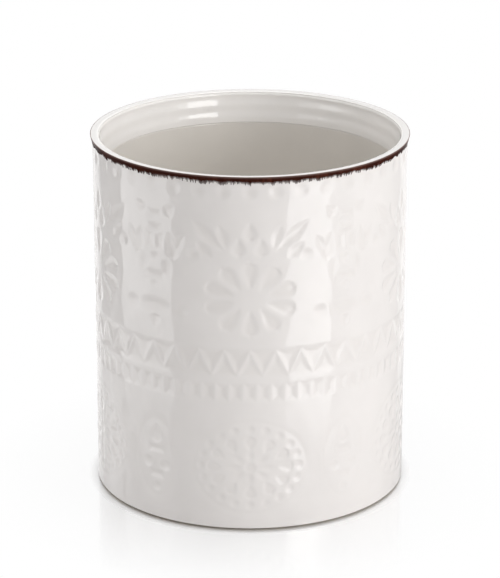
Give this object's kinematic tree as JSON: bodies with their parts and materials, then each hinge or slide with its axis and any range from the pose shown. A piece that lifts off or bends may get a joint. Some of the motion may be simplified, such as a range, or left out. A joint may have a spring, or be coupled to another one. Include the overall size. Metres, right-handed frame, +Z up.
{
  "type": "utensil crock",
  "caption": "Round stoneware utensil crock with straight cream walls, stamped flower, zigzag and bead bands, a white liner and a brushed brown rim.",
  "frame": {"origin": "on the counter, at the middle of the foot ring", "axes": "+Z up along the pot's axis, out of the mouth; -Y is the side seen in the picture; +X to the right of that side"},
  "size_m": [0.16, 0.16, 0.183],
  "materials": {
    "stoneware": "matt",
    "cream_glaze": "gloss",
    "white_glaze": "gloss",
    "brown_glaze": "gloss"
  },
  "bodies": {
    "root": {"crock_body": "stoneware", "outer_glaze": "cream_glaze", "liner_glaze": "white_glaze", "rim_band": "brown_glaze"}
  },
  "joints": []
}
